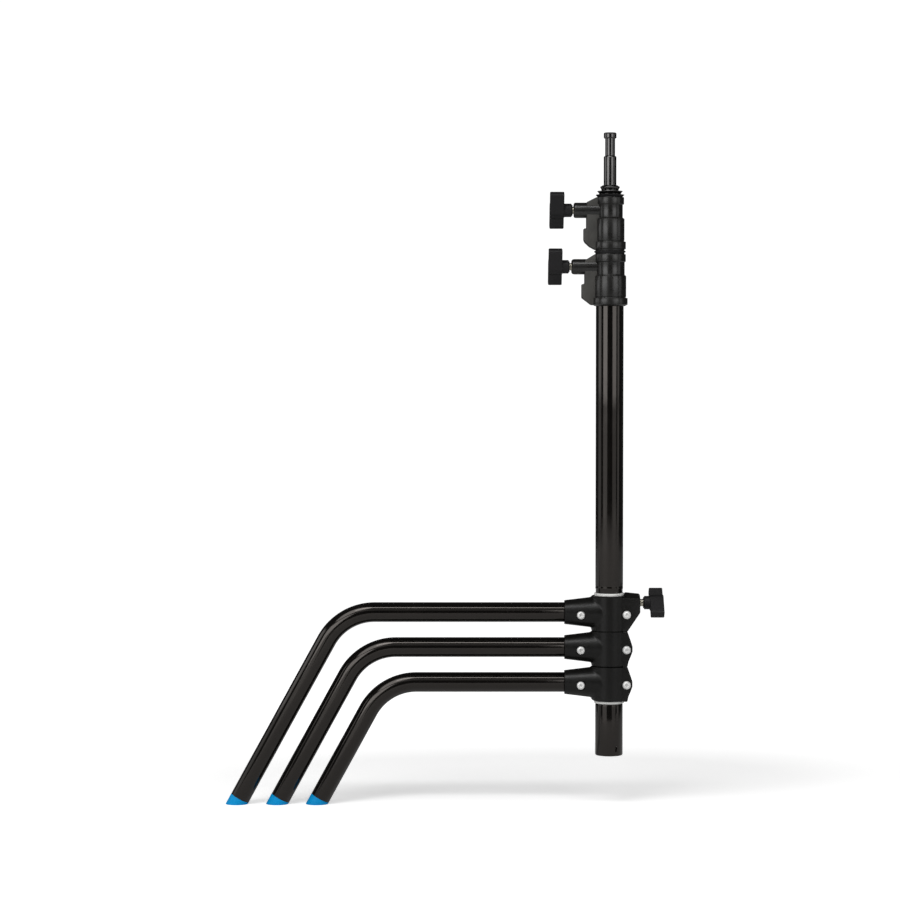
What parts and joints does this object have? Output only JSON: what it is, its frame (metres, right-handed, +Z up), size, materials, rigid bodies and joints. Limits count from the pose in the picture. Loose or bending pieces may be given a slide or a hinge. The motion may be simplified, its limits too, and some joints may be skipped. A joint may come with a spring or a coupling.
{
  "type": "light stand",
  "caption": "Folding black light stand: nested bent legs swing on stacked cast hubs around a telescoping column with wing-knob locks and a baby pin on top.",
  "frame": {"origin": "the point on the floor plane under the riser axis", "axes": "+Z up along the risers, -X along the folded legs, -Y the front, where the hub bolts' heads are"},
  "size_m": [0.5572, 0.047, 0.8521],
  "materials": {
    "gloss_black_steel": "gloss black paint on steel tube",
    "black_casting": "satin black powder coat on cast aluminium",
    "black_plastic": "matte moulded",
    "white_nylon": "natural white nylon",
    "blue_foot": "semi-matte blue moulding",
    "bright_steel": "bright plated steel",
    "zinc_steel": "zinc plated steel",
    "black_chrome_steel": "black chrome on turned steel",
    "brass": "turned brass"
  },
  "bodies": {
    "base": {"base_tube": "gloss_black_steel", "lower_washer": "white_nylon", "top_leg_hub": "black_casting", "top_leg": "gloss_black_steel", "top_leg_foot": "blue_foot", "top_leg_bolt": "bright_steel", "top_pinch_bolt": "bright_steel", "top_leg_nut": "bright_steel", "top_pinch_nut": "bright_steel"},
    "mid_leg": {"mid_leg_hub": "black_casting", "mid_hub_bush": "white_nylon", "mid_leg": "gloss_black_steel", "mid_leg_foot": "blue_foot", "mid_leg_bolt": "bright_steel", "mid_pinch_bolt": "bright_steel", "mid_leg_nut": "bright_steel", "mid_pinch_nut": "bright_steel"},
    "low_leg": {"low_leg_hub": "black_casting", "low_hub_bush": "white_nylon", "low_leg": "gloss_black_steel", "low_leg_foot": "blue_foot", "low_leg_bolt": "bright_steel", "low_pinch_bolt": "bright_steel", "low_leg_nut": "bright_steel", "low_pinch_nut": "bright_steel"},
    "base_pad": {"base_lock_pad": "brass"},
    "base_knob": {"base_lock_stud": "zinc_steel", "base_lock_knob": "black_plastic"},
    "column_seat": {"column_washer": "white_nylon"},
    "column": {"column_tube": "gloss_black_steel", "column_plug": "zinc_steel", "column_plug_pin": "zinc_steel", "lower_collar": "black_casting", "lower_collar_bush": "black_plastic", "lower_collar_grub_screws": "zinc_steel"},
    "lower_pad": {"lower_lock_pad": "brass"},
    "lower_knob": {"lower_lock_stud": "zinc_steel", "lower_lock_knob": "black_plastic"},
    "riser_2_guide": {"riser_2_guide": "white_nylon"},
    "riser_2": {"riser_2_tube": "gloss_black_steel", "upper_collar": "black_casting", "upper_collar_bush": "black_plastic", "upper_collar_grub_screws": "zinc_steel"},
    "upper_pad": {"upper_lock_pad": "brass"},
    "upper_knob": {"upper_lock_stud": "zinc_steel", "upper_lock_knob": "black_plastic"},
    "riser_3_guide": {"riser_3_guide": "white_nylon"},
    "riser_3": {"riser_3_tube": "gloss_black_steel", "pin_base": "black_chrome_steel", "baby_pin": "black_chrome_steel", "pin_cross_pin": "zinc_steel"}
  },
  "joints": [
    {"name": "mid_leg_swing", "type": "hinge", "parent": "base", "child": "mid_leg", "pos_m": [0, 0, 0.2], "axis": [0, 0, 1], "range_deg": [0, 120]},
    {"name": "low_leg_swing", "type": "hinge", "parent": "base", "child": "low_leg", "pos_m": [0, 0, 0.155], "axis": [0, 0, 1], "range_deg": [-120, 0]},
    {"name": "column_swivel", "type": "hinge", "parent": "base", "child": "column_seat", "pos_m": [0, 0, 0.268], "axis": [0, 0, 1], "continuous": true},
    {"name": "column_lift", "type": "slide", "parent": "column_seat", "child": "column", "axis": [0, 0, 1], "range_m": [0, 0.075]},
    {"name": "riser_2_slide", "type": "slide", "parent": "column", "child": "riser_2_guide", "axis": [0, 0, 1], "range_m": [0, 0.35]},
    {"name": "riser_2_swivel", "type": "hinge", "parent": "riser_2_guide", "child": "riser_2", "pos_m": [0, 0, 0.5], "axis": [0, 0, 1], "continuous": true},
    {"name": "riser_3_slide", "type": "slide", "parent": "riser_2", "child": "riser_3_guide", "axis": [0, 0, 1], "range_m": [0, 0.4]},
    {"name": "riser_3_swivel", "type": "hinge", "parent": "riser_3_guide", "child": "riser_3", "pos_m": [0, 0, 0.6], "axis": [0, 0, 1], "continuous": true},
    {"name": "base_pad_slide", "type": "slide", "parent": "base", "child": "base_pad", "axis": [1, 0, 0], "range_m": [0, 0.00225]},
    {"name": "base_knob_turn", "type": "hinge", "parent": "base_pad", "child": "base_knob", "pos_m": [0.06, 0, 0.257], "axis": [1, 0, 0], "range_deg": [0, 540]},
    {"name": "lower_pad_slide", "type": "slide", "parent": "column", "child": "lower_pad", "axis": [-1, 0, 0], "range_m": [0, 0.00225]},
    {"name": "lower_knob_turn", "type": "hinge", "parent": "lower_pad", "child": "lower_knob", "pos_m": [-0.06, 0, 0.6831], "axis": [-1, 0, 0], "range_deg": [0, 540]},
    {"name": "upper_pad_slide", "type": "slide", "parent": "riser_2", "child": "upper_pad", "axis": [-1, 0, 0], "range_m": [0, 0.00225]},
    {"name": "upper_knob_turn", "type": "hinge", "parent": "upper_pad", "child": "upper_knob", "pos_m": [-0.06, 0, 0.7543], "axis": [-1, 0, 0], "range_deg": [0, 540]}
  ],
  "couplings": [
    {"joint": "base_knob_turn", "follows": "base_pad_slide", "rad_per_m": 4188.8},
    {"joint": "lower_knob_turn", "follows": "lower_pad_slide", "rad_per_m": 4188.8},
    {"joint": "upper_knob_turn", "follows": "upper_pad_slide", "rad_per_m": 4188.8}
  ]
}
